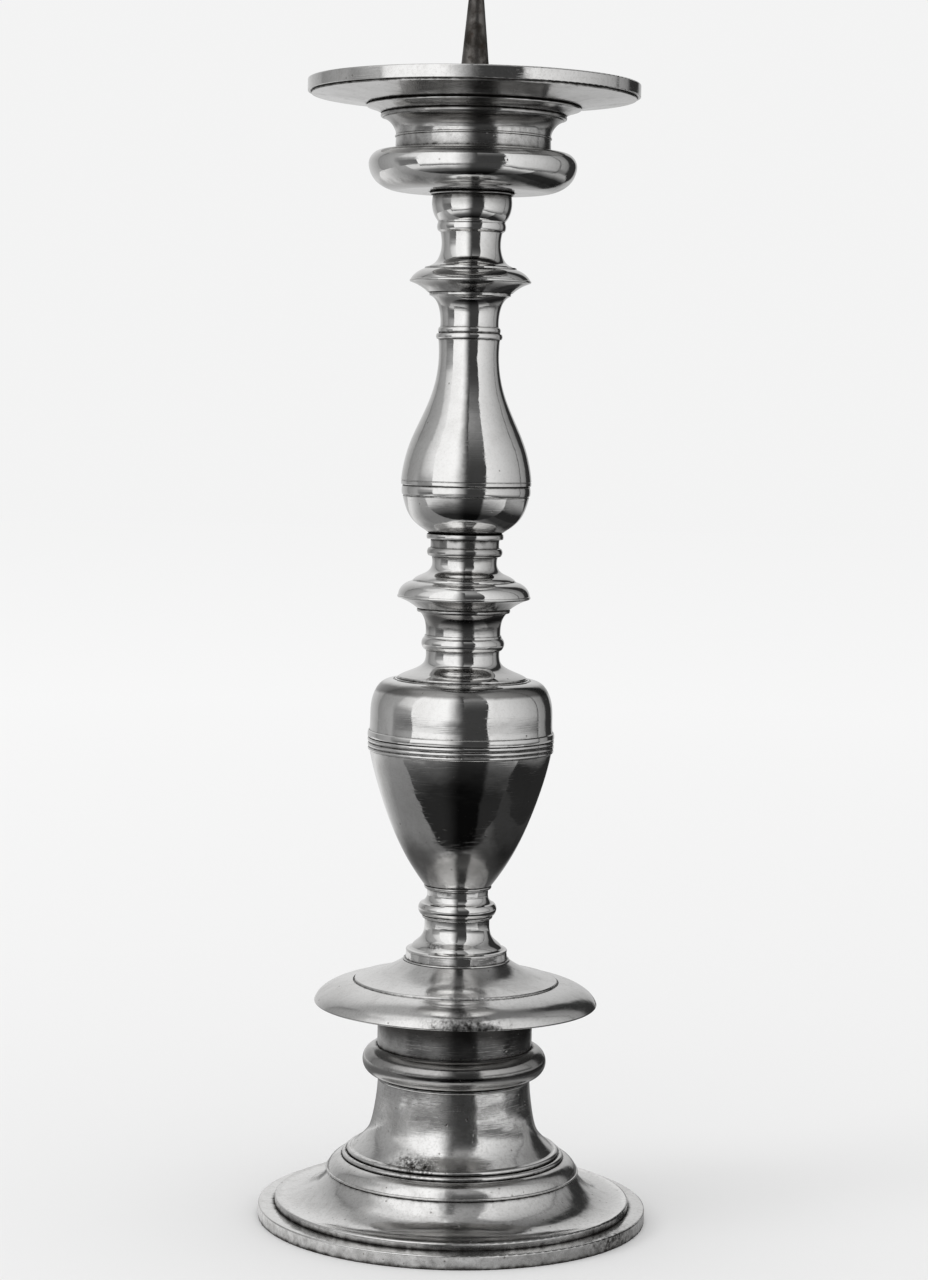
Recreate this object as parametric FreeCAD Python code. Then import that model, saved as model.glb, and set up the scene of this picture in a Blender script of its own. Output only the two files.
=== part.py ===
import FreeCAD, Part
import os
from FreeCAD import Vector

# A tall pricket candlestick of turned silver. Hollow and cast sections stand one on another,
# each with a spigot that drops into the piece below, and an iron rod runs through them all.
# The pricket is screwed on the rod's top, and a wing nut inside the foot draws the stack tight.
# Millimetres, +Z up, origin at the centre of the foot's underside, where it meets the table.

# Largest radii
FOOT_RADIUS = 72.0
DISC_RADIUS = 52.4
PAN_RADIUS = 60.4

# Heights of the joints between the pieces, from the table up
RIM_TOP = 5.2
BELL_TOP = 51.9
SLEEVE_TOP = 80.6
DISC_TOP = 96.7
LOWER_SPOOL_TOP = 123.6
BOWL_TOP = 174.7
BAND_TOP = 182.2
SHOULDER_TOP = 201.7
MID_SPOOL_TOP = 227.4
MID_KNOP_TOP = 237.4
PEAR_FOOT = 254.9
PEAR_JOINT = 272.5
PEAR_TOP = 325.8
UPPER_SPOOL_TOP = 342.7
UPPER_KNOP_TOP = 351.8
TOP_NECK_TOP = 378.0
PLATE_TOP = 379.0
CUSHION_TOP = 393.5
COLLAR_TOP = 405.5
PAN_RIM_FOOT = 414.0

# Heights inside the pan
PAN_FLOOR = 411.6
PAN_RIM_TOP = 418.6
PRICKET_TIP = 473.5

# Spigots, bores and clearances
ROD_RADIUS = 4.0
ROD_HOLE = 4.3
BORE = 7.0
SPIGOT_RADIUS = 9.0
SPIGOT_LENGTH = 3.0
SOCKET_DEPTH = 3.3
FIT = 0.05

# The wide spigots of the foot and the pan
THROAT_RADIUS = 25.8
THROAT_SPIGOT = 5.0
SLEEVE_RADIUS = 28.7
DISC_SPIGOT_RADIUS = 26.5
COLLAR_BORE = 26.0
PAN_SPIGOT_RADIUS = 27.5
PAN_EDGE = 59.0
LIP_OVERLAP = 3.7

# Where one shell is let into the next
FOOT_SEAT_RADIUS = 63.0
DISC_SEAT_RADIUS = 50.0
URN_LIP_RADIUS = 32.8
URN_LIP_BORE = 30.6
PEAR_SEAT_RADIUS = 21.8
PEAR_LIP_BORE = 19.8

# Washer and wing nut under the sleeve's web
WASHER_RADIUS = 15.0
WASHER_THICKNESS = 2.5
NUT_HEIGHT = 10.0
WING_SPAN = 18.0
WING_THICKNESS = 3.0
ROD_END = 31.0

ORIGIN = Vector(0, 0, 0)
UP = Vector(0, 0, 1)


class Outline:
    """Half section of a turned piece. Heights count from the piece's own base."""

    def __init__(self, base, radius, height):
        self.base = base
        self.start = (radius, height)
        self.pen = self.point(radius, height)
        self.edges = []

    def point(self, radius, height):
        return Vector(radius, 0, self.base + height)

    def line(self, radius, height):
        end = self.point(radius, height)
        self.edges.append(Part.LineSegment(self.pen, end).toShape())
        self.pen = end
        return self

    def bow(self, radius, height, swell):
        """Arc that swells to the right of its own direction, as a share of half its chord."""
        end = self.point(radius, height)
        chord = end - self.pen
        side = Vector(chord.z, 0, -chord.x) * (swell / 2)
        middle = (self.pen + end) * 0.5 + side
        self.edges.append(Part.Arc(self.pen, middle, end).toShape())
        self.pen = end
        return self

    def curve(self, *stations):
        """Smooth curve from the pen through the stations."""
        points = [self.pen] + [self.point(radius, height) for radius, height in stations]
        spline = Part.BSplineCurve()
        spline.interpolate(points)
        self.edges.append(spline.toShape())
        self.pen = points[-1]
        return self

    def spigot(self):
        """From the bore at the spigot's foot, out and up to the piece's base."""
        return self.line(SPIGOT_RADIUS, -SPIGOT_LENGTH).line(SPIGOT_RADIUS, 0)

    def socket(self, height):
        """Across the top and down into the socket for the piece above, as far as the bore."""
        self.line(SPIGOT_RADIUS + FIT, height)
        self.line(SPIGOT_RADIUS + FIT, height - SOCKET_DEPTH)
        return self.line(BORE, height - SOCKET_DEPTH)

    def turned(self):
        """The solid that the closed outline sweeps about the stick's axis."""
        self.line(*self.start)
        return Part.Face(Part.Wire(self.edges)).revolve(ORIGIN, UP, 360)


def stem_outline(base):
    """An outline that starts at the foot of the standard spigot."""
    return Outline(base, BORE, -SPIGOT_LENGTH).spigot()


def foot_rim():
    rim = Outline(0, FOOT_SEAT_RADIUS, 0)
    rim.line(FOOT_RADIUS - 0.4, 0)
    rim.bow(FOOT_RADIUS, 0.4, 0.41)
    rim.line(FOOT_RADIUS, RIM_TOP - 0.6)
    rim.bow(FOOT_RADIUS - 0.5, RIM_TOP - 0.1, 0.41)
    rim.line(FOOT_SEAT_RADIUS, RIM_TOP)
    return rim.turned()


def foot_shell():
    foot = Outline(0, 60.8, 0.6)
    foot.line(FOOT_SEAT_RADIUS - FIT, 0.6).line(FOOT_SEAT_RADIUS - FIT, RIM_TOP)
    # lip on the rim
    foot.line(65.9, RIM_TOP).line(65.8, 7.2)
    foot.bow(65.1, 7.9, 0.4)
    # dish, and the fine lip that overhangs it
    foot.bow(46.2, 17.5, -0.34)
    foot.line(46.9, 17.7).bow(46.9, 18.4, 0.5)
    # roll and two beads
    foot.line(46.5, 18.5).bow(41.6, 23.1, 0.26).line(41.0, 23.1)
    foot.bow(39.7, 24.7, 0.7).line(39.2, 24.7)
    foot.bow(37.9, 26.3, 0.7)
    # waisted bell
    foot.line(37.4, 26.5)
    foot.curve((34.2, 29.4), (31.6, 32.6), (30.2, 36.6), (29.1, 42.6), (28.4, 48.6), (28.2, BELL_TOP))
    # hollow inside
    foot.line(THROAT_RADIUS, BELL_TOP).line(THROAT_RADIUS, 44.0)
    foot.curve((27.2, 38.0), (29.4, 32.4), (35.4, 25.2))
    foot.line(43.8, 18.8).line(44.6, 16.4)
    foot.bow(60.8, 5.0, 0.34)
    return foot.turned()


def neck_sleeve():
    top = SLEEVE_TOP - BELL_TOP
    sleeve = Outline(BELL_TOP, ROD_HOLE, -THROAT_SPIGOT)
    sleeve.line(THROAT_RADIUS - FIT, -THROAT_SPIGOT).line(THROAT_RADIUS - FIT, 0)
    # fillet under the ring
    sleeve.line(28.1, 0).bow(28.1, 1.5, 0.4)
    sleeve.line(27.9, 1.8).line(SLEEVE_RADIUS, 1.8)
    sleeve.line(SLEEVE_RADIUS, top)
    # spigot through the disc's plate, then the hollow down to the web
    sleeve.line(DISC_SPIGOT_RADIUS, top).line(DISC_SPIGOT_RADIUS, top + SPIGOT_LENGTH)
    sleeve.line(24.5, top + SPIGOT_LENGTH).line(24.5, -2.0)
    sleeve.line(ROD_HOLE, -2.0)
    return sleeve.turned()


def neck_ring():
    ring = Outline(BELL_TOP + 1.8, SLEEVE_RADIUS + FIT, 0)
    ring.bow(SLEEVE_RADIUS + FIT, 11.0, 0.97)
    return ring.turned()


def disc_plate():
    plate = Outline(SLEEVE_TOP, DISC_SPIGOT_RADIUS + FIT, 0)
    plate.line(DISC_SEAT_RADIUS - FIT, 0).line(DISC_SEAT_RADIUS - FIT, 1.6)
    plate.line(DISC_SPIGOT_RADIUS + FIT, 1.6)
    return plate.turned()


def base_disc():
    top = DISC_TOP - SLEEVE_TOP
    disc = Outline(SLEEVE_TOP, DISC_SEAT_RADIUS, 0)
    disc.line(DISC_RADIUS - 0.5, 0).bow(DISC_RADIUS, 0.6, 0.4)
    disc.curve((51.2, 2.7), (47.9, 5.3), (43.4, 7.1), (38.2, 8.2))
    # fine groove, and the step up to the swept top
    disc.bow(37.7, 8.25, -0.8).line(37.6, 8.6).bow(37.0, 9.1, 0.4)
    disc.bow(19.8, top, -0.12)
    disc.line(SPIGOT_RADIUS + FIT, top).line(SPIGOT_RADIUS + FIT, top - 3.0)
    disc.line(18.2, top - 3.0).line(35.2, 5.8)
    disc.bow(49.0, 1.6, -0.2).line(DISC_SEAT_RADIUS, 1.6)
    return disc.turned()


def lower_spool():
    top = LOWER_SPOOL_TOP - DISC_TOP
    spool = stem_outline(DISC_TOP)
    # lip, base band and the fine bead along its top edge
    spool.line(19.6, 0).bow(19.6, 0.6, 0.4).line(18.9, 0.7)
    spool.line(18.6, 3.4).bow(18.3, 4.3, 0.7).line(17.6, 4.5)
    # flare and waist
    spool.line(16.8, 5.0)
    spool.curve((15.3, 6.7), (13.8, 8.0), (12.7, 9.6), (12.1, 12.0), (12.1, 15.6))
    # fillet and ring
    spool.line(12.9, 15.9).bow(12.9, 17.1, 0.4)
    spool.line(13.7, 17.3).bow(13.7, 21.4, 0.4)
    # hollow under the urn
    spool.line(13.0, 21.7).bow(11.3, 25.0, -0.3).line(11.3, top)
    spool.socket(top)
    return spool.turned()


def urn_bowl():
    top = BOWL_TOP - LOWER_SPOOL_TOP
    bowl = stem_outline(LOWER_SPOOL_TOP)
    bowl.line(12.2, 0).bow(12.2, 1.3, 0.5).line(12.7, 1.5)
    bowl.curve((14.8, 4.4), (17.8, 8.9), (22.7, 17.9), (26.5, 26.9), (29.6, 35.8), (32.2, 44.7), (33.6, top))
    # rebate that the band covers, then the hollow
    bowl.line(URN_LIP_RADIUS, top).line(URN_LIP_RADIUS, top + LIP_OVERLAP)
    bowl.line(URN_LIP_BORE, top + LIP_OVERLAP).line(URN_LIP_BORE, 44.5)
    bowl.curve((27.4, 35.8), (24.3, 26.9), (20.3, 17.9), (15.9, 10.6), (12.0, 5.1))
    bowl.line(BORE, 5.1)
    return bowl.turned()


def urn_band():
    band = Outline(BOWL_TOP, URN_LIP_RADIUS + FIT, 0)
    band.line(33.9, 0)
    # reeds, from the lowest up: the height each one ends at
    for reed_top in (1.4, 3.1, 5.0):
        band.bow(33.9, reed_top - 0.15, 0.6).line(33.9, reed_top)
    # flat top member
    band.line(34.4, 5.1).bow(34.3, 7.2, 0.1).line(33.9, 7.5)
    band.line(URN_LIP_RADIUS + FIT, 7.5)
    return band.turned()


def urn_shoulder():
    top = SHOULDER_TOP - BAND_TOP
    lip = BOWL_TOP + LIP_OVERLAP - BAND_TOP
    shoulder = Outline(BAND_TOP, URN_LIP_BORE, lip)
    shoulder.line(URN_LIP_RADIUS, lip).line(URN_LIP_RADIUS, 0)
    shoulder.line(33.8, 0)
    shoulder.curve((33.6, 4.5), (33.4, 9.2), (32.5, 13.2), (30.3, 16.9), (25.4, 18.8))
    # fine groove round the ledge
    shoulder.bow(24.8, 19.0, -0.8).line(24.1, 19.2).line(24.1, top)
    shoulder.line(SPIGOT_RADIUS + FIT, top).line(SPIGOT_RADIUS + FIT, top - 3.2)
    shoulder.line(22.0, top - 3.2)
    shoulder.curve((28.4, 14.2), (30.7, 10.4), (31.4, 3.0), (URN_LIP_BORE, -1.0))
    return shoulder.turned()


def mid_spool_lower():
    top = MID_SPOOL_TOP - SHOULDER_TOP
    spool = stem_outline(SHOULDER_TOP)
    # wide flare on the urn
    spool.line(23.6, 0).line(23.4, 0.5)
    spool.curve((19.4, 2.3), (16.1, 3.9), (14.2, 5.6), (13.6, 7.6), (13.6, 10.2))
    # bead with a small fillet over it
    spool.line(14.3, 10.5).bow(14.3, 15.0, 0.44)
    spool.line(14.1, 15.7).line(13.8, 15.8)
    # neck and flare to the knop
    spool.curve((13.8, 18.6), (14.4, 21.6), (15.9, 24.0))
    spool.line(17.0, 24.3).bow(17.0, 25.5, 0.3)
    spool.line(16.8, top)
    spool.socket(top)
    return spool.turned()


def mid_knop():
    top = MID_KNOP_TOP - MID_SPOOL_TOP
    knop = stem_outline(MID_SPOOL_TOP)
    knop.line(17.3, 0).bow(24.2, 3.7, -0.1)
    knop.bow(24.2, 4.8, 0.6)
    knop.curve((23.5, 7.0), (21.7, 8.8), (19.4, 9.8))
    knop.line(19.1, top)
    knop.socket(top)
    return knop.turned()


def mid_spool_upper():
    top = PEAR_FOOT - MID_KNOP_TOP
    spool = stem_outline(MID_KNOP_TOP)
    spool.line(18.8, 0).line(18.6, 0.5)
    spool.curve((15.8, 2.2), (13.2, 3.7), (12.1, 5.4), (11.9, 7.0), (12.1, 8.9))
    # ring
    spool.line(13.4, 9.3).bow(13.4, 12.0, 0.35)
    # neck and fillet under the pear
    spool.line(12.6, 12.3).line(12.6, 15.2)
    spool.line(14.0, 15.5).bow(14.0, 17.2, 0.2).line(13.6, top)
    spool.socket(top)
    return spool.turned()


def pear_lower():
    top = PEAR_JOINT - PEAR_FOOT
    pear = stem_outline(PEAR_FOOT)
    pear.line(13.2, 0)
    pear.curve((16.8, 2.4), (19.4, 4.7), (21.3, 7.6), (22.6, 11.1), (23.2, 13.4))
    # proud band between two grooves
    pear.bow(23.5, 14.1, -0.8).bow(23.5, 17.0, 0.12).line(23.2, top)
    # lip for the upper half, then the hollow
    pear.line(PEAR_SEAT_RADIUS - FIT, top).line(PEAR_SEAT_RADIUS - FIT, top + 2.5)
    pear.line(PEAR_LIP_BORE, top + 2.5).line(PEAR_LIP_BORE, 15.5)
    pear.curve((19.5, 11.0), (17.3, 7.0), (13.5, 4.2))
    pear.line(BORE, 4.2)
    return pear.turned()


def pear_upper():
    top = PEAR_TOP - PEAR_JOINT
    pear = Outline(PEAR_JOINT, PEAR_SEAT_RADIUS, 0)
    pear.line(23.6, 0).line(23.9, 0.3).line(23.9, 1.3)
    # fine line above the joint
    pear.bow(23.9, 1.8, -0.7)
    pear.curve((23.3, 6.4), (21.0, 15.1), (17.2, 23.9), (13.6, 32.5), (11.5, 41.0), (11.0, 47.5),
               (11.3, top))
    pear.socket(top)
    pear.line(BORE, 40.0)
    pear.curve((11.0, 31.5), (15.0, 23.2), (19.4, 12.5), (PEAR_SEAT_RADIUS, 2.6))
    return pear.turned()


def upper_spool():
    top = UPPER_SPOOL_TOP - PEAR_TOP
    spool = stem_outline(PEAR_TOP)
    # two rings
    spool.line(11.9, 0).bow(11.9, 1.9, 0.3)
    spool.line(11.2, 2.1).line(11.2, 2.3)
    spool.bow(11.2, 4.1, 0.3)
    # neck and flare to the knop
    spool.line(10.7, 4.4)
    spool.curve((10.7, 7.4), (11.1, 10.3), (11.9, 12.9), (14.2, 15.5))
    spool.line(14.9, 15.8).line(14.9, 16.7).line(14.6, top)
    spool.socket(top)
    return spool.turned()


def upper_knop():
    top = UPPER_KNOP_TOP - UPPER_SPOOL_TOP
    knop = stem_outline(UPPER_SPOOL_TOP)
    knop.line(15.6, 0).bow(22.0, 3.7, -0.12)
    knop.bow(21.9, 4.6, 0.6)
    knop.curve((21.0, 5.9), (19.4, 7.3), (16.9, 8.5))
    knop.line(16.7, top)
    knop.socket(top)
    return knop.turned()


def top_neck():
    top = TOP_NECK_TOP - UPPER_KNOP_TOP
    neck = stem_outline(UPPER_KNOP_TOP)
    neck.line(15.6, 0).line(15.0, 0.5)
    neck.curve((12.6, 2.2), (11.3, 4.9), (10.8, 8.2), (11.3, 12.6))
    # fillet band
    neck.line(12.3, 13.3).bow(12.3, 16.1, 0.2)
    # cup
    neck.line(12.3, 16.6)
    neck.curve((13.8, 19.0), (14.5, 21.6), (14.5, 25.0))
    neck.line(14.3, top)
    neck.socket(top)
    return neck.turned()


def top_plate():
    plate = Outline(TOP_NECK_TOP, SPIGOT_RADIUS + FIT, 0)
    plate.line(15.1, 0).bow(15.1, 1.0, 0.6).line(SPIGOT_RADIUS + FIT, 1.0)
    return plate.turned()


def pan_cushion():
    top = CUSHION_TOP - PLATE_TOP
    cushion = stem_outline(PLATE_TOP)
    cushion.line(27.0, 0)
    cushion.curve((32.9, 1.7), (36.0, 4.3), (37.6, 7.6), (37.8, 10.6), (36.3, 13.2), (33.0, 14.4))
    cushion.line(30.5, top)
    # low ring that centres the collar
    cushion.line(COLLAR_BORE - FIT, top).line(COLLAR_BORE - FIT, top + 2.0)
    cushion.line(23.9, top + 2.0).line(23.9, top)
    # rod hole and hollow
    cushion.line(ROD_HOLE, top).line(ROD_HOLE, top - 2.5)
    cushion.line(29.5, top - 2.5)
    cushion.curve((34.3, 10.6), (35.3, 7.8), (33.0, 4.3), (27.0, 2.4))
    cushion.line(BORE, 2.4)
    return cushion.turned()


def pan_collar():
    top = COLLAR_TOP - CUSHION_TOP
    collar = Outline(CUSHION_TOP, COLLAR_BORE, 0)
    collar.line(28.3, 0).line(28.2, 4.7)
    # fine ridge where the bell starts
    collar.bow(28.2, 5.6, 0.8)
    collar.curve((28.3, 6.6), (28.8, 8.0), (30.1, 9.9), (32.5, 11.6))
    collar.line(32.7, top)
    collar.line(PAN_SPIGOT_RADIUS + FIT, top).line(PAN_SPIGOT_RADIUS + FIT, top - 2.4)
    collar.line(COLLAR_BORE, 6.5)
    return collar.turned()


def drip_pan():
    floor = PAN_FLOOR - COLLAR_TOP
    pan = Outline(COLLAR_TOP, 25.6, -2.0)
    pan.line(PAN_SPIGOT_RADIUS, -2.0).line(PAN_SPIGOT_RADIUS, 0)
    # two fillets with a hollow between them
    pan.line(33.7, 0).bow(33.7, 1.1, 0.3)
    pan.line(33.4, 1.3).bow(38.2, 3.4, -0.1)
    pan.line(38.8, 3.6).bow(38.8, 4.4, 0.4)
    # underside out to the rebate under the rim
    pan.line(38.3, 4.5).bow(PAN_EDGE, 7.7, -0.03)
    pan.line(PAN_EDGE, 9.5).line(57.6, 9.5)
    # dish, flat floor and the hole for the pricket
    pan.bow(36.0, floor, 0.05)
    pan.line(6.3, floor).line(6.3, floor - 2.0).line(25.6, floor - 2.0)
    return pan.turned()


def pan_rim():
    height = PAN_RIM_TOP - PAN_RIM_FOOT
    rim = Outline(PAN_RIM_FOOT, PAN_EDGE + FIT, 0)
    rim.line(PAN_RADIUS - 0.3, 0).bow(PAN_RADIUS, 0.3, 0.41)
    rim.line(PAN_RADIUS, height - 0.5).bow(PAN_RADIUS - 0.5, height, 0.41)
    rim.line(58.7, height).bow(58.2, height - 0.5, 0.41)
    rim.line(58.2, 1.0).line(PAN_EDGE + FIT, 1.0)
    return rim.turned()


def pricket():
    floor = PAN_FLOOR - CUSHION_TOP
    spike = Outline(CUSHION_TOP, ROD_RADIUS + FIT, 0)
    # flange on the cushion
    spike.line(11.0, 0).bow(11.0, 3.0, 0.4).line(8.5, 3.2)
    spike.bow(6.0, 10.5, -0.3)
    # shank through the pan, plain pin, and the point
    spike.line(6.0, floor + 0.8).line(5.0, floor + 1.3)
    spike.line(5.0, floor + 13.3)
    spike.line(0.5, PRICKET_TIP - CUSHION_TOP - 0.3).line(0, PRICKET_TIP - CUSHION_TOP)
    # blind hole for the rod
    spike.line(0, 9.0).line(ROD_RADIUS + FIT, 9.0)
    return spike.turned()


def tie_rod():
    top = CUSHION_TOP + 8.5
    rod = Outline(0, 0, ROD_END)
    rod.line(ROD_RADIUS - 0.6, ROD_END).line(ROD_RADIUS, ROD_END + 0.6)
    rod.line(ROD_RADIUS, top - 0.6).line(ROD_RADIUS - 0.6, top).line(0, top)
    return rod.turned()


def foot_washer():
    washer = Outline(BELL_TOP - THROAT_SPIGOT - WASHER_THICKNESS, ROD_RADIUS + FIT, 0)
    washer.line(WASHER_RADIUS - 0.5, 0).line(WASHER_RADIUS, 0.5)
    washer.line(WASHER_RADIUS, WASHER_THICKNESS).line(ROD_RADIUS + FIT, WASHER_THICKNESS)
    return washer.turned()


def wing_nut():
    base = BELL_TOP - THROAT_SPIGOT - WASHER_THICKNESS - NUT_HEIGHT
    hub = Outline(base, ROD_RADIUS + FIT, 0)
    hub.line(6.8, 0).line(7.2, 0.4).line(8.4, NUT_HEIGHT - 1.0)
    hub.line(8.4, NUT_HEIGHT).line(ROD_RADIUS + FIT, NUT_HEIGHT)
    nut = hub.turned()
    for turn in (0, 180):
        wing = Outline(base, 6.0, 3.5)
        wing.bow(WING_SPAN - 3.0, -1.5, 0.2)
        wing.bow(WING_SPAN - 2.0, 4.5, 0.9)
        wing.bow(7.0, 8.5, -0.2)
        wing.line(6.0, 8.5)
        wing.line(*wing.start)
        blade = Part.Face(Part.Wire(wing.edges)).extrude(Vector(0, WING_THICKNESS, 0))
        blade.translate(Vector(0, -WING_THICKNESS / 2, 0))
        blade.rotate(ORIGIN, UP, turn)
        nut = nut.fuse(blade)
    return nut.removeSplitter()


PIECES = (
    foot_rim, foot_shell, neck_sleeve, neck_ring, disc_plate, base_disc,
    lower_spool, urn_bowl, urn_band, urn_shoulder,
    mid_spool_lower, mid_knop, mid_spool_upper, pear_lower, pear_upper,
    upper_spool, upper_knop, top_neck, top_plate,
    pan_cushion, pan_collar, drip_pan, pan_rim, pricket,
    tie_rod, foot_washer, wing_nut,
)

os.makedirs("parts", exist_ok=True)
for piece in PIECES:
    shape = piece()
    if shape.ShapeType != "Solid":
        shape = shape.Solids[0]
    if not shape.isValid() or shape.Volume < 0:
        raise ValueError(piece.__name__ + " is not a sound solid")
    print(piece.__name__, round(shape.Volume / 1000, 2), "cm3")
    shape.exportStep("parts/" + piece.__name__ + ".step")
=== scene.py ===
import math
from collections import namedtuple

import bpy
from mathutils import Matrix, Vector

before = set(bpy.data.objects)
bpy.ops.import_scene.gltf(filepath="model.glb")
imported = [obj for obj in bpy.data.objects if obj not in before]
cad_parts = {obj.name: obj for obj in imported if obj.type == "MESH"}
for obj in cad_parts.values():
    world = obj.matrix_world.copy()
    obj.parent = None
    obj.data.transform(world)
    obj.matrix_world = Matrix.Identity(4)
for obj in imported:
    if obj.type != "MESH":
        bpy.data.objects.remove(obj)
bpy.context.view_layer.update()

# The finish of each piece; the ones that aren't named here are the polished stem's.
FINISH_OF_NODE = {
    "foot_rim": "foot_silver",
    "foot_shell": "foot_silver",
    "neck_sleeve": "pan_silver",
    "neck_ring": "pan_silver",
    "base_disc": "disc_silver",
    "pan_collar": "pan_silver",
    "drip_pan": "pan_silver",
    "pan_rim": "pan_silver",
    "pricket": "pricket_iron",
    "tie_rod": "rod_iron",
    "foot_washer": "rod_iron",
    "wing_nut": "rod_iron",
}
STEM_FINISH = "stem_silver"

# Silver, what dulls it, and the dark used for painted shade and a painted reflection.
SILVER = (0.95, 0.945, 0.936, 1.0)
SILVER_SHADED = (0.79, 0.783, 0.77, 1.0)
TARNISH = (0.30, 0.285, 0.265, 1.0)
# Deep tarnish, also the near black of painted shade in corners, under overhangs and on downward
# faces.
DEEP_TARNISH_AND_SHADE = (0.085, 0.08, 0.075, 1.0)
# Black grime, also the black of a painted dark reflection on the base disc.
GRIME_AND_DARK_REFLECTION = (0.025, 0.022, 0.019, 1.0)
IRON = (0.20, 0.19, 0.18, 1.0)
IRON_DARK = (0.065, 0.058, 0.052, 1.0)
RUST = (0.16, 0.085, 0.05, 1.0)

# How fully tarnish with painted shade, and pits, hide the silver, and how much each mark roughens
# it.
TARNISH_AND_SHADE_COVER = 0.88
PIT_COVER = 0.75
FILM_ROUGHENS = 0.5
SCRATCH_ROUGHENS = 0.10
PIT_ROUGHENS = 0.15
TARNISH_ROUGHENS = 0.12
GRIME_ROUGHNESS = 0.65
SCRATCH_DEPTH = 0.000012
PIT_TO_SCRATCH = 3.0

# A Mix node has separate sockets for colours and for plain numbers.
MIX_COLOR_FIRST, MIX_COLOR_SECOND, MIX_COLOR_RESULT = 6, 7, 2
MIX_NUMBER_FIRST, MIX_NUMBER_SECOND, MIX_NUMBER_RESULT = 2, 3, 0


# ---------------------------------------------------------------- node helpers


class Sheet:
    """A node tree under construction: places nodes and joins their sockets."""

    def __init__(self, tree):
        self.tree = tree
        self.tree.nodes.clear()

    def node(self, kind, settings=None, **inputs):
        made = self.tree.nodes.new(kind)
        for name, value in (settings or {}).items():
            setattr(made, name, value)
        for name, value in inputs.items():
            self.put(made.inputs[name.replace("_", " ")], value)
        return made

    def put(self, socket, value):
        if isinstance(value, bpy.types.NodeSocket):
            self.tree.links.new(value, socket)
        else:
            socket.default_value = value

    def math(self, operation, *values, clamp=False):
        made = self.node("ShaderNodeMath", {"operation": operation, "use_clamp": clamp})
        for socket, value in zip(made.inputs, values):
            self.put(socket, value)
        return made.outputs[0]

    def remap(self, value, low, high, to_low=0.0, to_high=1.0, curve="LINEAR"):
        made = self.node("ShaderNodeMapRange", {"interpolation_type": curve})
        for socket, setting in zip(made.inputs, (value, low, high, to_low, to_high)):
            self.put(socket, setting)
        return made.outputs["Result"]

    def mix(self, amount, first, second, blend="MIX"):
        made = self.node("ShaderNodeMix", {"data_type": "RGBA", "blend_type": blend})
        self.put(made.inputs["Factor"], amount)
        self.put(made.inputs[MIX_COLOR_FIRST], first)
        self.put(made.inputs[MIX_COLOR_SECOND], second)
        return made.outputs[MIX_COLOR_RESULT]

    def blend(self, amount, first, second):
        made = self.node("ShaderNodeMix", {"data_type": "FLOAT"})
        self.put(made.inputs["Factor"], amount)
        self.put(made.inputs[MIX_NUMBER_FIRST], first)
        self.put(made.inputs[MIX_NUMBER_SECOND], second)
        return made.outputs[MIX_NUMBER_RESULT]

    def position(self):
        """The x, y and z of a point of the piece, in metres."""
        spot = self.node("ShaderNodeSeparateXYZ")
        self.put(spot.inputs[0], self.node("ShaderNodeTexCoord").outputs["Object"])
        return spot.outputs

    def reach(self, x, y):
        """How far a point is from the middle of the stick."""
        squares = self.math("ADD", self.math("MULTIPLY", x, x), self.math("MULTIPLY", y, y))
        return self.math("SQRT", squares)

    def azimuth(self, x, y):
        """Degrees round the stick, 0 at its front and growing to the right."""
        return self.math("DEGREES", self.math("ARCTAN2", x, self.math("MULTIPLY", y, -1.0)))

    def glow(self, level):
        """A surface that only shows its own light."""
        lit = self.node("ShaderNodeEmission", Strength=level)
        self.put(self.node("ShaderNodeOutputMaterial").inputs["Surface"], lit.outputs[0])


def new_effect(name, inputs, outputs):
    """A shader node group with named sockets, and the sheet its nodes go on."""
    group = bpy.data.node_groups.new(name, "ShaderNodeTree")
    sheet = Sheet(group)
    for socket_name, kind, value in inputs:
        socket = group.interface.new_socket(socket_name, in_out="INPUT", socket_type=kind)
        if value is not None:
            socket.default_value = value
    for socket_name, kind in outputs:
        group.interface.new_socket(socket_name, in_out="OUTPUT", socket_type=kind)
    given = sheet.node("NodeGroupInput")
    result = sheet.node("NodeGroupOutput")
    return group, sheet, given.outputs, result


def place(sheet, group, **inputs):
    """Puts an effect into a material with its own values."""
    made = sheet.node("ShaderNodeGroup")
    made.node_tree = group
    for name, value in inputs.items():
        sheet.put(made.inputs[name.replace("_", " ")], value)
    return made.outputs


# ------------------------------------------------------------- shared effects


def make_clouding():
    """Soft patches where the surface has dulled or picked up a skin."""
    group, s, given, result = new_effect(
        "clouding",
        [
            ("Patch Size", "NodeSocketFloat", 60.0),
            ("Patch Start", "NodeSocketFloat", 0.5),
            ("Patch Full", "NodeSocketFloat", 0.7),
        ],
        [("Mask", "NodeSocketFloat")],
    )
    place_on = s.node("ShaderNodeTexCoord").outputs["Object"]
    noise = s.node(
        "ShaderNodeTexNoise",
        Vector=place_on,
        Scale=given["Patch Size"],
        Detail=5.0,
        Roughness=0.62,
        Distortion=0.4,
    )
    mask = s.remap(
        noise.outputs["Fac"], given["Patch Start"], given["Patch Full"], curve="SMOOTHSTEP"
    )
    s.put(result.inputs["Mask"], mask)
    return group


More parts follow.
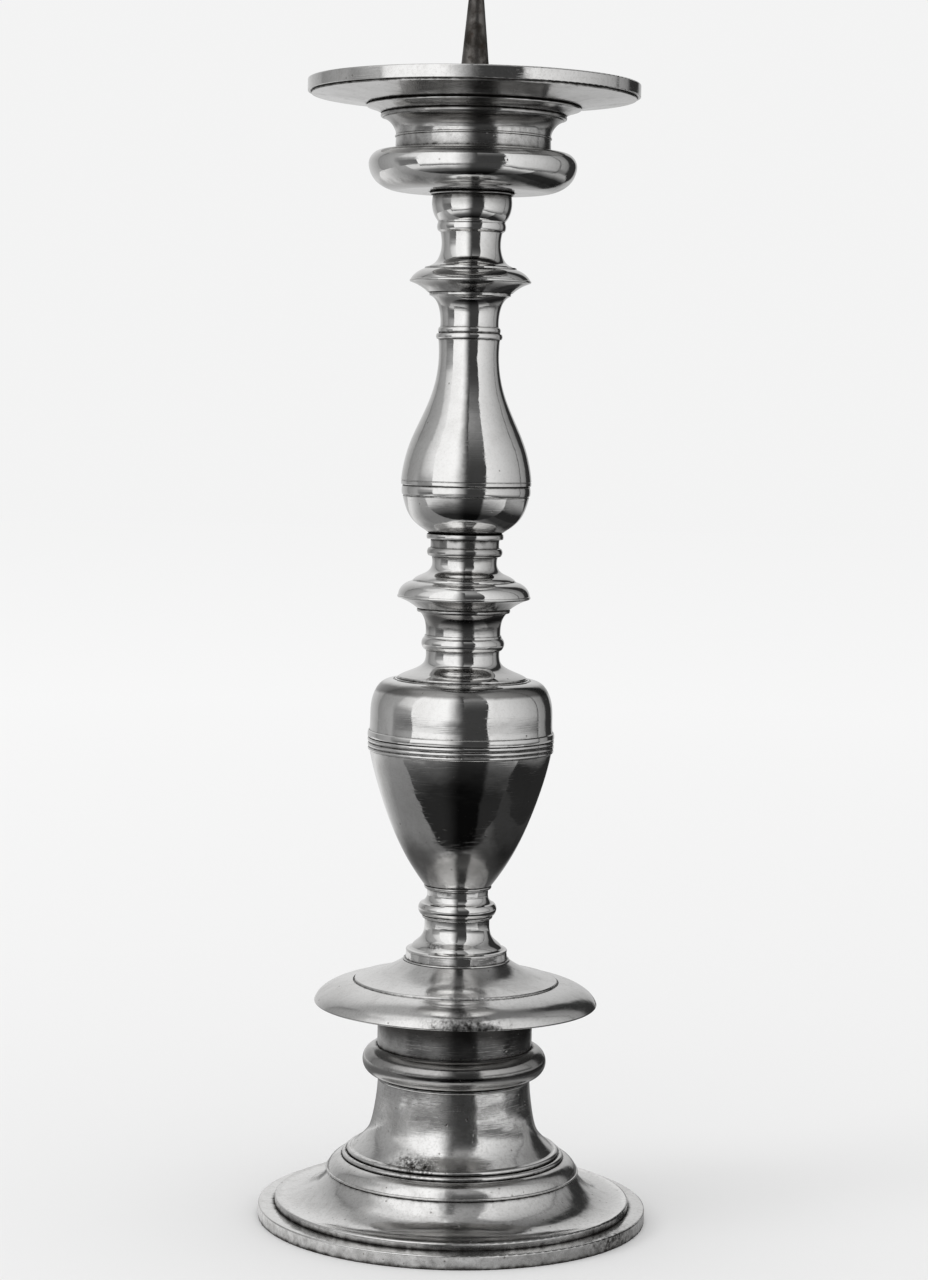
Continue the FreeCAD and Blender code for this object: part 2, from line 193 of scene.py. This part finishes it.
def make_corner_grime_and_shade():
    """A mask for the corners between members: black polish residue in the joints, and, with a
    longer reach, painted shade.
    """
    group, s, given, result = new_effect(
        "corner_grime_and_shade",
        [
            ("Reach", "NodeSocketFloat", 0.002),
            ("Open", "NodeSocketFloat", 0.75),
            ("Packed", "NodeSocketFloat", 0.45),
            ("Breakup", "NodeSocketFloat", 0.25),
        ],
        [("Mask", "NodeSocketFloat")],
    )
    corner = s.node("ShaderNodeAmbientOcclusion", {"samples": 12}, Distance=given["Reach"])
    place_on = s.node("ShaderNodeTexCoord").outputs["Object"]
    noise = s.node("ShaderNodeTexNoise", Vector=place_on, Scale=420.0, Detail=3.0)
    uneven = s.math("MULTIPLY", s.math("SUBTRACT", noise.outputs["Fac"], 0.5), given["Breakup"])
    openness = s.math("ADD", corner.outputs["AO"], uneven)
    mask = s.remap(openness, given["Open"], given["Packed"], curve="SMOOTHSTEP")
    s.put(result.inputs["Mask"], mask)
    return group


def make_underside_tarnish_and_shade():
    """Darkening on faces that look down: tarnish where a polishing cloth does not reach, together
    with painted shade.

    Sheltered is one on every face except those that look clearly up.
    """
    group, s, given, result = new_effect(
        "underside_tarnish_and_shade",
        [("Start", "NodeSocketFloat", 0.62), ("Full", "NodeSocketFloat", 0.92)],
        [("Mask", "NodeSocketFloat"), ("Sheltered", "NodeSocketFloat")],
    )
    facing = s.node("ShaderNodeSeparateXYZ")
    s.put(facing.inputs[0], s.node("ShaderNodeTexCoord").outputs["Normal"])
    place_on = s.node("ShaderNodeTexCoord").outputs["Object"]
    noise = s.node("ShaderNodeTexNoise", Vector=place_on, Scale=160.0, Detail=5.0, Roughness=0.6)
    uneven = s.math("MULTIPLY", s.math("SUBTRACT", noise.outputs["Fac"], 0.5), 0.5)
    down = s.math("ADD", s.math("MULTIPLY", facing.outputs[2], -1.0), uneven)
    s.put(result.inputs["Mask"], s.remap(down, given["Start"], given["Full"], curve="SMOOTHSTEP"))
    s.put(result.inputs["Sheltered"], s.remap(down, -0.45, -0.10))
    return group


def make_dark_ring():
    """A ragged darker ring round the stick between two heights."""
    group, s, given, result = new_effect(
        "dark_ring",
        [
            ("Bottom", "NodeSocketFloat", 0.1),
            ("Top", "NodeSocketFloat", 0.11),
            ("Softness", "NodeSocketFloat", 0.002),
        ],
        [("Mask", "NodeSocketFloat")],
    )
    _, _, z = s.position()
    place_on = s.node("ShaderNodeTexCoord").outputs["Object"]
    noise = s.node("ShaderNodeTexNoise", Vector=place_on, Scale=110.0, Detail=5.0, Roughness=0.65)
    uneven = s.math("SUBTRACT", noise.outputs["Fac"], 0.5)
    height = s.math("ADD", z, s.math("MULTIPLY", uneven, given["Softness"]))
    rise_end = s.math("ADD", given["Bottom"], given["Softness"])
    fall_start = s.math("SUBTRACT", given["Top"], given["Softness"])
    rise = s.remap(height, given["Bottom"], rise_end, curve="SMOOTHSTEP")
    fall = s.remap(height, fall_start, given["Top"], 1.0, 0.0, "SMOOTHSTEP")
    s.put(result.inputs["Mask"], s.math("MULTIPLY", rise, fall))
    return group


def make_stain_and_reflection_patch():
    """One ragged dark patch, wider than high, round a stated spot: used for black stains and for
    painted dark reflections.
    """
    group, s, given, result = new_effect(
        "stain_and_reflection_patch",
        [
            ("Spot", "NodeSocketVector", None),
            ("Width", "NodeSocketFloat", 0.006),
            ("Ragged", "NodeSocketFloat", 0.7),
        ],
        [("Mask", "NodeSocketFloat")],
    )
    place_on = s.node("ShaderNodeTexCoord").outputs["Object"]
    off = s.node("ShaderNodeVectorMath", {"operation": "SUBTRACT"})
    s.put(off.inputs[0], place_on)
    s.put(off.inputs[1], given["Spot"])
    flat = s.node("ShaderNodeMapping", Vector=off.outputs[0], Scale=(1.0, 1.0, 2.6))
    away = s.node("ShaderNodeVectorMath", {"operation": "LENGTH"})
    s.put(away.inputs[0], flat.outputs[0])
    share = s.math("DIVIDE", away.outputs["Value"], given["Width"])
    noise = s.node("ShaderNodeTexNoise", Vector=place_on, Scale=330.0, Detail=5.0, Roughness=0.65)
    rag = s.math("MULTIPLY", s.math("SUBTRACT", noise.outputs["Fac"], 0.5), given["Ragged"])
    edge = s.math("ADD", share, s.math("MULTIPLY", rag, 4.0))
    solid = s.remap(edge, 1.15, 0.15, curve="SMOOTHSTEP")
    grain = s.node("ShaderNodeTexNoise", Vector=place_on, Scale=650.0, Detail=6.0, Roughness=0.7)
    speckle = s.remap(grain.outputs["Fac"], 0.38, 0.58)
    s.put(result.inputs["Mask"], s.math("MULTIPLY", solid, speckle))
    return group


def make_hairlines():
    """Fine scratches left by cloths, running mostly round the turning, some across it."""
    group, s, given, result = new_effect(
        "hairlines",
        [
            ("Fineness", "NodeSocketFloat", 1.0),
            ("Amount", "NodeSocketFloat", 0.5),
        ],
        [("Height", "NodeSocketFloat"), ("Mask", "NodeSocketFloat")],
    )
    place_on = s.node("ShaderNodeTexCoord").outputs["Object"]
    total = None
    # Two sets run nearly round the turning and one runs across it.
    for tilt, stretch in (
        ((0.12, 0.0, 0.0), (60.0, 60.0, 3200.0)),
        ((-0.20, 0.30, 0.0), (90.0, 90.0, 2300.0)),
        ((0.9, 0.4, 0.3), (120.0, 120.0, 2800.0)),
    ):
        turned = s.node("ShaderNodeMapping", Vector=place_on, Rotation=tilt, Scale=stretch)
        strands = s.node(
            "ShaderNodeTexNoise",
            Vector=turned.outputs[0],
            Scale=given["Fineness"],
            Detail=2.0,
            Roughness=0.5,
        )
        line = s.remap(strands.outputs["Fac"], 0.60, 0.74, curve="SMOOTHSTEP")
        total = line if total is None else s.math("MAXIMUM", total, line)
    mask = s.math("MULTIPLY", total, given["Amount"])
    s.put(result.inputs["Mask"], mask)
    s.put(result.inputs["Height"], s.math("MULTIPLY", mask, -1.0))
    return group


def make_pitting():
    """Scattered small pits, each a little different in size."""
    group, s, given, result = new_effect(
        "pitting",
        [
            ("Spacing", "NodeSocketFloat", 500.0),
            ("Share", "NodeSocketFloat", 0.15),
            ("Width", "NodeSocketFloat", 0.16),
        ],
        [("Height", "NodeSocketFloat"), ("Mask", "NodeSocketFloat")],
    )
    place_on = s.node("ShaderNodeTexCoord").outputs["Object"]
    cells = s.node("ShaderNodeTexVoronoi", Vector=place_on, Scale=given["Spacing"])
    lot = s.node("ShaderNodeSeparateColor")
    s.put(lot.inputs[0], cells.outputs["Color"])
    chosen = s.math("LESS_THAN", lot.outputs[0], given["Share"])
    radius = s.math("MULTIPLY", given["Width"], s.math("ADD", lot.outputs[1], 0.5))
    dent = s.remap(cells.outputs["Distance"], radius, s.math("MULTIPLY", radius, 0.4))
    mask = s.math("MULTIPLY", dent, chosen)
    s.put(result.inputs["Mask"], mask)
    s.put(result.inputs["Height"], s.math("MULTIPLY", mask, -1.0))
    return group


def make_hand_waviness():
    """The slow unevenness of metal spun and planished by hand."""
    group, s, given, result = new_effect(
        "hand_waviness",
        [("Wave Size", "NodeSocketFloat", 45.0), ("Ripple", "NodeSocketFloat", 0.12)],
        [("Height", "NodeSocketFloat")],
    )
    place_on = s.node("ShaderNodeTexCoord").outputs["Object"]
    squashed = s.node("ShaderNodeMapping", Vector=place_on, Scale=(1.0, 1.0, 1.6))
    slow = s.node(
        "ShaderNodeTexNoise", Vector=squashed.outputs[0], Scale=given["Wave Size"], Detail=1.0
    )
    quick = s.node("ShaderNodeTexNoise", Vector=place_on, Detail=1.5)
    s.put(quick.inputs["Scale"], s.math("MULTIPLY", given["Wave Size"], 4.5))
    ripple = s.math("MULTIPLY", quick.outputs["Fac"], given["Ripple"])
    s.put(result.inputs["Height"], s.math("ADD", slow.outputs["Fac"], ripple))
    return group


clouding = make_clouding()
corner_grime_and_shade = make_corner_grime_and_shade()
underside_tarnish_and_shade = make_underside_tarnish_and_shade()
dark_ring = make_dark_ring()
stain_and_reflection_patch = make_stain_and_reflection_patch()
hairlines = make_hairlines()
pitting = make_pitting()
hand_waviness = make_hand_waviness()


# ------------------------------------------------------------------- finishes


def new_material(name):
    material = bpy.data.materials.new(name)
    material.use_nodes = True
    return material, Sheet(material.node_tree)


def metal_surface(s, color, roughness, normal):
    shader = s.node(
        "ShaderNodeBsdfPrincipled",
        Base_Color=color,
        Roughness=roughness,
        Metallic=1.0,
        Normal=normal,
    )
    s.put(s.node("ShaderNodeOutputMaterial").inputs["Surface"], shader.outputs[0])


def worn_silver(
    name,
    gloss,
    dullness,
    pits,
    scratches,
    waviness,
    patch_size,
    dull_share,
    mottle,
    shade_reach,
    underside=0.70,
    dark_rings=(),
    stains_and_reflections=(),
):
    """Silver with clouded patches, dirt and painted shade in its corners, hairlines, pits and a
    hand-made surface.

    gloss and dullness are the roughness of clean and of clouded silver. dull_share, mottle and
    underside say how strong the clouds, the fine specks and the tarnish with painted shade on
    faces that look down are. shade_reach is how far tarnish and painted shade come out of the
    corners.
    dark_rings holds darker rings as (bottom, top, softness, strength), and stains_and_reflections
    holds black stains and painted dark reflections as (centre, width).
    """
    material, s = new_material(name)
    clouds = place(s, clouding, Patch_Size=patch_size, Patch_Start=0.42, Patch_Full=0.70)
    film = place(s, clouding, Patch_Size=patch_size * 4.0, Patch_Start=0.40, Patch_Full=0.85)
    specks = place(s, clouding, Patch_Size=900.0, Patch_Start=0.44, Patch_Full=0.72)
    grime = place(s, corner_grime_and_shade, Reach=0.0022, Open=0.94, Packed=0.55, Breakup=0.35)
    # The wider corner mask darkens the corners: painted shade together with tarnish.
    shade = place(s, corner_grime_and_shade, Reach=shade_reach, Open=0.84, Packed=0.34, Breakup=0.30)
    # below darkens faces that look down: tarnish together with painted shade.
    below = place(s, underside_tarnish_and_shade, Start=0.66, Full=0.95)
    scores = place(s, hairlines, Fineness=1.0, Amount=scratches)
    dents = place(s, pitting, Spacing=420.0, Share=pits, Width=0.16)
    waves = place(s, hand_waviness, Wave_Size=42.0)

    color = s.mix(s.math("MULTIPLY", clouds["Mask"], dull_share), SILVER, SILVER_SHADED)
    color = s.mix(s.math("MULTIPLY", specks["Mask"], mottle), color, TARNISH)
    # Corner darkening kept off faces that look up: painted shade under overhangs, with tarnish.
    sheltered = s.math("MULTIPLY", shade["Mask"], below["Sheltered"])
    tarnish_and_shade = s.math("MAXIMUM", sheltered, s.math("MULTIPLY", below["Mask"], underside))
    for bottom, top, softness, amount in dark_rings:
        line = place(s, dark_ring, Bottom=bottom, Top=top, Softness=softness)
        tarnish_and_shade = s.math("MAXIMUM", tarnish_and_shade, s.math("MULTIPLY", line["Mask"], amount))
    # Tarnish and painted shade take the silver towards near black.
    color = s.mix(s.math("MULTIPLY", tarnish_and_shade, TARNISH_AND_SHADE_COVER), color, DEEP_TARNISH_AND_SHADE)
    color = s.mix(s.math("MULTIPLY", dents["Mask"], PIT_COVER), color, TARNISH)
    color = s.mix(grime["Mask"], color, GRIME_AND_DARK_REFLECTION)
    # Black stains, and painted dark reflections where a finish lists one.
    for spot, width in stains_and_reflections:
        mark = place(s, stain_and_reflection_patch, Spot=spot, Width=width, Ragged=0.45)
        color = s.mix(mark["Mask"], color, GRIME_AND_DARK_REFLECTION)

    rough = s.blend(clouds["Mask"], gloss, dullness)
    for mask, roughens in (
        (film["Mask"], gloss * FILM_ROUGHENS),
        (scores["Mask"], SCRATCH_ROUGHENS),
        (dents["Mask"], PIT_ROUGHENS),
        (tarnish_and_shade, TARNISH_ROUGHENS),
    ):
        rough = s.math("ADD", rough, s.math("MULTIPLY", mask, roughens))
    rough = s.math("MAXIMUM", rough, s.math("MULTIPLY", grime["Mask"], GRIME_ROUGHNESS))

    broad = s.node("ShaderNodeBump", Height=waves["Height"], Distance=waviness, Strength=1.0)
    fine = s.math("ADD", scores["Height"], s.math("MULTIPLY", dents["Height"], PIT_TO_SCRATCH))
    bump = s.node(
        "ShaderNodeBump",
        Height=fine,
        Distance=SCRATCH_DEPTH,
        Strength=1.0,
        Normal=broad.outputs[0],
    )
    metal_surface(s, color, rough, bump.outputs[0])
    return material


def worn_iron(name, rust_share, gloss, grain):
    """Iron with a dark skin, some rust and a filed or forged surface grain metres deep."""
    material, s = new_material(name)
    skin = place(s, clouding, Patch_Size=140.0, Patch_Start=0.38, Patch_Full=0.66)
    rust = place(s, clouding, Patch_Size=260.0, Patch_Start=0.55, Patch_Full=0.72)
    grime = place(s, corner_grime_and_shade, Reach=0.0015, Open=0.80, Packed=0.45, Breakup=0.3)
    lines = place(s, hairlines, Fineness=0.8, Amount=0.7)
    dents = place(s, pitting, Spacing=600.0, Share=0.4, Width=0.3)
    color = s.mix(skin["Mask"], IRON, IRON_DARK)
    color = s.mix(s.math("MULTIPLY", rust["Mask"], rust_share), color, RUST)
    color = s.mix(grime["Mask"], color, GRIME_AND_DARK_REFLECTION)
    rough = s.blend(skin["Mask"], gloss, gloss + 0.22)
    rough = s.math("ADD", rough, s.math("MULTIPLY", rust["Mask"], 0.2))
    high = s.math("ADD", lines["Height"], s.math("MULTIPLY", dents["Height"], 2.0))
    bump = s.node("ShaderNodeBump", Height=high, Distance=grain, Strength=0.8)
    metal_surface(s, color, rough, bump.outputs[0])
    return material


finishes = {
    "stem_silver": worn_silver(
        "stem_silver",
        gloss=0.035,
        dullness=0.085,
        pits=0.06,
        scratches=0.4,
        waviness=0.00045,
        patch_size=70.0,
        dull_share=0.6,
        mottle=0.09,
        shade_reach=0.011,
        dark_rings=(
            (0.1190, 0.1500, 0.0150, 0.76),
            (0.1962, 0.2006, 0.0013, 0.80),
            (0.2175, 0.2290, 0.0045, 0.80),
            (0.2435, 0.2560, 0.0045, 0.42),
            (0.3345, 0.3435, 0.0045, 0.50),
            (0.3725, 0.3800, 0.0035, 0.50),
        ),
        stains_and_reflections=(((-0.0085, -0.0125, 0.1035), 0.004),),
    ),
    "disc_silver": worn_silver(
        "disc_silver",
        gloss=0.12,
        dullness=0.22,
        pits=0.06,
        scratches=0.4,
        waviness=0.00045,
        patch_size=70.0,
        dull_share=0.6,
        mottle=0.15,
        shade_reach=0.011,
        # The patch on the front of the disc is a painted dark reflection.
        stains_and_reflections=(((0.0035, -0.0515, 0.0800), 0.018),),
    ),
    "foot_silver": worn_silver(
        "foot_silver",
        gloss=0.11,
        dullness=0.22,
        pits=0.30,
        scratches=0.45,
        waviness=0.00060,
        patch_size=90.0,
        dull_share=0.7,
        mottle=0.20,
        shade_reach=0.018,
        stains_and_reflections=(((0.0595, -0.0405, 0.0025), 0.017), ((-0.013, -0.0355, 0.0270), 0.013)),
    ),
    "pan_silver": worn_silver(
        "pan_silver",
        gloss=0.07,
        dullness=0.15,
        pits=0.10,
        scratches=0.5,
        waviness=0.00045,
        patch_size=80.0,
        dull_share=0.6,
        mottle=0.20,
        shade_reach=0.018,
        underside=0.48,
        # The two lowest rings darken the neck sleeve and neck ring under the base disc: painted
        # shade.
        dark_rings=(
            (0.0510, 0.0690, 0.0060, 0.55),
            (0.0660, 0.0900, 0.0080, 1.00),
            (0.4000, 0.4075, 0.0025, 0.80),
        ),
    ),
    "pricket_iron": worn_iron("pricket_iron", rust_share=0.25, gloss=0.34, grain=0.00004),
    "rod_iron": worn_iron("rod_iron", rust_share=0.6, gloss=0.5, grain=0.00008),
}

for node_name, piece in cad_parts.items():
    finish = finishes[FINISH_OF_NODE.get(node_name, STEM_FINISH)]
    piece.data.materials.clear()
    piece.data.materials.append(finish)


# --------------------------------------------------------------------- studio

# What stands round the table, as the stick sees it. Each card lies between two azimuths, in
# degrees, 0 in front and growing to the right, and between two heights, in degrees above level.
# A soft value is the width over which that side fades. Light runs from the first azimuth's level
# to the last one's. A card that leans turns to the right as it rises. Later cards lie on top.
Card = namedtuple(
    "Card",
    "start soft_start end soft_end bottom soft_bottom top soft_top first_light last_light leans",
)
STUDIO_CARDS = {
    "ceiling_back": Card(-182, 1, -112, 40, 45, 20, 95, 1, 0.36, 0.36, False),
    "ceiling_left": Card(-112, 40, -14, 44, 45, 20, 95, 1, 0.68, 0.80, False),
    "ceiling_front": Card(-14, 44, 45, 20, 45, 20, 95, 1, 0.36, 0.22, False),
    "ceiling_right": Card(45, 20, 182, 1, 45, 20, 95, 1, 0.24, 0.13, False),
    "back_wall_left": Card(-182, 1, -129, 4, -100, 1, 46, 14, 0.74, 0.32, False),
    "side_wall_left": Card(-129, 3, -93, 10, -100, 1, 46, 14, 0.25, 0.36, True),
    "curtain_left": Card(-93, 10, -45, 20, 5, 10, 52, 22, 0.48, 1.0, True),
    "sill_left": Card(-95, 10, -56, 4, -12, 10, 10, 14, 0.22, 0.40, True),
    "floor_front": Card(-92, 8, 35, 4, -100, 1, -3, 8, 0.16, 0.03, True),
    "doorway": Card(-5, 24, 34.5, 1.5, -100, 1, 36, 44, 0.045, 0.045, True),
    "panel_right": Card(34.5, 1.5, 64, 6, -12, 6, 56, 14, 0.72, 0.62, True),
    "panel_right_far": Card(61, 6, 132, 6, -12, 6, 56, 14, 0.66, 0.20, True),
    "gap_right": Card(132, 6, 157, 5, -100, 1, 50, 12, 0.03, 0.025, True),
    "back_wall_right": Card(157, 5, 182, 1, -100, 1, 50, 14, 0.36, 0.66, False),
}
UNLIT_ROOM = 0.16
CARD_LEAN = 8.0
LEAN_FROM, LEAN_TO = 10.0, 45.0
BACKDROP_LIGHT = 0.90
FILL_LIGHT = 1.01

# The floor is painted a little darker near the stick than far away: painted shade.
FLOOR_HALF = 6.0
FLOOR_NEAR, FLOOR_FAR = 0.25, 1.9
FLOOR_TONE_NEAR, FLOOR_TONE_FAR = 0.825, 0.887

# The table that the silver sees, and its front and right edges.
TABLE_BOX = (-0.95, 0.95, -1.0, 1.0)
TABLE_LEVEL = -0.0003
TABLE_FRONT = -0.095
TABLE_RIGHT = 0.25

SCREEN_TOP = 1.6
SCREEN_DARK = 0.05

LAMP_PLACE = (-3.0, -1.4, 2.1)
LAMP_AIM = (0.0, 0.0, 0.1)
LAMP_SIZE = 1.8
LAMP_WATTS = 24.0

CAMERA_PLACE = (0.0004, -1.10075, 0.30370)
CAMERA_DOWN = 4.574
CAMERA_ROLL = 1.21
CAMERA_SENSOR = 36.0
CAMERA_LENS = 84.375
CAMERA_NEAREST = 0.05


def band(s, value, low, high, soft_low, soft_high):
    """One between low and high, fading to nothing over the given softness."""
    rise = s.remap(value, low - soft_low / 2, low + soft_low / 2, curve="SMOOTHSTEP")
    fall = s.remap(value, high - soft_high / 2, high + soft_high / 2, 1.0, 0.0, "SMOOTHSTEP")
    return s.math("MULTIPLY", rise, fall)


def build_studio():
    world = bpy.data.worlds.new("studio")
    bpy.context.scene.world = world
    world.use_nodes = True
    world.cycles.sampling_method = "NONE"
    s = Sheet(world.node_tree)
    way = s.node("ShaderNodeSeparateXYZ")
    s.put(way.inputs[0], s.node("ShaderNodeTexCoord").outputs["Generated"])
    x, y, z = way.outputs
    height = s.math("DEGREES", s.math("ARCSINE", z))
    turn = s.azimuth(x, y)
    leaning = s.math("SUBTRACT", turn, s.remap(height, LEAN_FROM, LEAN_TO, 0.0, CARD_LEAN))

    light = UNLIT_ROOM
    for card in STUDIO_CARDS.values():
        way_round = leaning if card.leans else turn
        across = band(s, way_round, card.start, card.end, card.soft_start, card.soft_end)
        upright = band(s, height, card.bottom, card.top, card.soft_bottom, card.soft_top)
        level = s.remap(turn, card.start, card.end, card.first_light, card.last_light)
        light = s.blend(s.math("MULTIPLY", across, upright), light, level)

    rays = s.node("ShaderNodeLightPath")
    seen = s.blend(rays.outputs["Is Camera Ray"], FILL_LIGHT, BACKDROP_LIGHT)
    seen = s.blend(rays.outputs["Is Glossy Ray"], seen, light)
    background = s.node("ShaderNodeBackground")
    s.put(background.inputs["Color"], (1.0, 1.0, 1.0, 1.0))
    s.put(background.inputs["Strength"], seen)
    out = s.node("ShaderNodeOutputWorld")
    s.put(out.inputs["Surface"], background.outputs[0])


def flat_piece(name, corners):
    mesh = bpy.data.meshes.new(name)
    mesh.from_pydata(corners, [], [(0, 1, 2, 3)])
    piece = bpy.data.objects.new(name, mesh)
    bpy.context.scene.collection.objects.link(piece)
    return piece


def level_piece(name, left, right, front, back, z):
    return flat_piece(
        name, [(left, front, z), (right, front, z), (right, back, z), (left, back, z)]
    )


def seen_in_silver_only(piece):
    piece.visible_camera = False
    piece.visible_diffuse = False
    piece.visible_shadow = False
    piece.visible_transmission = False


def build_floor():
    """The pale floor that the eye sees."""
    floor = level_piece("floor", -FLOOR_HALF, FLOOR_HALF, -FLOOR_HALF, FLOOR_HALF, 0.0)
    paint, s = new_material("pale_floor")
    x, y, _ = s.position()
    # Painted shade: the floor tone darkens towards the stick.
    tone = s.remap(s.reach(x, y), FLOOR_NEAR, FLOOR_FAR, FLOOR_TONE_NEAR, FLOOR_TONE_FAR)
    color = s.node("ShaderNodeCombineColor", Red=tone, Green=tone, Blue=tone)
    shader = s.node("ShaderNodeBsdfDiffuse", Color=color.outputs[0])
    s.put(s.node("ShaderNodeOutputMaterial").inputs["Surface"], shader.outputs[0])
    floor.data.materials.append(paint)
    floor.visible_glossy = False


def build_table_top():
    """What the silver sees below it: a table with a front edge, and a shaded apron beyond."""
    top = level_piece("table_top", *TABLE_BOX, TABLE_LEVEL)
    cloth, s = new_material("table_cloth")
    x, y, _ = s.position()
    reach = s.reach(x, y)

    # The cover is lighter on the left, at the back and away from the stick.
    cover = s.remap(x, -0.12, 0.12, 0.19, 0.09, "SMOOTHSTEP")
    cover = s.math("ADD", cover, s.remap(y, 0.12, 0.6, 0.0, 0.40))
    cover = s.math("ADD", cover, s.remap(reach, 0.25, 0.7, 0.0, 0.13))
    # It falls into shade on the right, ends, and there is pale floor further off.
    cover = s.blend(s.remap(x, 0.13, 0.17), cover, 0.035)
    cover = s.blend(s.remap(x, TABLE_RIGHT, TABLE_RIGHT + 0.005), cover, 0.02)
    cover = s.math("ADD", cover, s.remap(x, 0.42, 0.7, 0.0, 0.30))
    # Light comes back off the foot, more on the left.
    by_foot = s.remap(x, -0.05, 0.07, 0.60, 0.24, "SMOOTHSTEP")
    cover = s.math("ADD", cover, s.math("MULTIPLY", s.remap(reach, 0.115, 0.09), by_foot))

    # The apron is dark close by, pale further off, and stays dark in front of the doorway.
    near = s.remap(reach, 0.24, 0.36, 0.02, 0.11)
    apron = s.math("ADD", near, s.remap(reach, 0.36, 0.60, 0.0, 0.55, "SMOOTHSTEP"))
    middle = band(s, s.azimuth(x, y), -14.0, 34.0, 30.0, 6.0)
    apron = s.blend(middle, apron, s.remap(reach, 0.22, 0.6, 0.003, 0.05))
    apron = s.blend(s.remap(reach, 0.88, 1.0), apron, 0.05)

    on_table = s.remap(y, TABLE_FRONT - 0.002, TABLE_FRONT + 0.002)
    s.glow(s.blend(on_table, apron, cover))
    top.data.materials.append(cloth)
    seen_in_silver_only(top)


def build_screen(name, away, facing, left, right, lean, light, fade, foot):
    """A tall pale screen that stands away metres from the stick and faces it.

    facing, left, right and fade are azimuths in degrees. lean moves the top of the left edge to
    the right. light is the level at the left and right edges, and fade is where the right side
    starts to darken. foot is the two heights between which the screen comes up out of the dark.
    """
    turned = Matrix.Rotation(math.radians(facing), 4, "Z")

    def corner(azimuth, z):
        across = away * math.tan(math.radians(azimuth - facing))
        at = turned @ Vector((across, -away, 0.0))
        return (at.x, at.y, z)

    low, high = foot
    corners = [corner(left, low), corner(right, low)]
    corners += [corner(right, SCREEN_TOP), corner(left + lean, SCREEN_TOP)]
    screen = flat_piece(name, corners)
    cloth, s = new_material(name + "_cloth")
    x, y, z = s.position()
    turn = s.azimuth(x, y)
    level = s.remap(turn, left, right, light[0], light[1])
    level = s.blend(s.remap(turn, fade, right, curve="SMOOTHSTEP"), level, SCREEN_DARK)
    s.glow(s.blend(s.remap(z, high, low, curve="SMOOTHSTEP"), level, SCREEN_DARK))
    screen.data.materials.append(cloth)
    seen_in_silver_only(screen)


def build_lamp():
    lamp = bpy.data.lights.new("soft_window", "AREA")
    lamp.shape = "DISK"
    lamp.size = LAMP_SIZE
    lamp.energy = LAMP_WATTS
    holder = bpy.data.objects.new("soft_window", lamp)
    bpy.context.scene.collection.objects.link(holder)
    holder.location = LAMP_PLACE
    aim = Vector(LAMP_AIM) - holder.location
    holder.rotation_euler = aim.to_track_quat("-Z", "Y").to_euler()
    holder.visible_glossy = False


def build_camera():
    camera = bpy.data.cameras.new("camera")
    camera.sensor_fit = "AUTO"
    camera.sensor_width = CAMERA_SENSOR
    camera.lens = CAMERA_LENS
    camera.clip_start = CAMERA_NEAREST
    holder = bpy.data.objects.new("camera", camera)
    bpy.context.scene.collection.objects.link(holder)
    pitch = Matrix.Rotation(math.radians(90.0 - CAMERA_DOWN), 4, "X")
    roll = Matrix.Rotation(math.radians(CAMERA_ROLL), 4, "Z")
    place_at = Matrix.Translation(CAMERA_PLACE)
    holder.matrix_world = place_at @ pitch @ roll
    bpy.context.scene.camera = holder


build_studio()
build_floor()
build_table_top()
build_screen(
    "screen_left",
    away=0.55,
    facing=-40.0,
    left=-62.0,
    right=4.0,
    lean=0.0,
    light=(0.90, 1.03),
    fade=-24.0,
    foot=(0.06, 0.18),
)
build_screen(
    "screen_right",
    away=0.50,
    facing=65.0,
    left=34.5,
    right=112.0,
    lean=9.0,
    light=(0.80, 0.30),
    fade=108.0,
    foot=(0.07, 0.19),
)
build_lamp()
build_camera()
bpy.context.scene.view_settings.view_transform = "Standard"
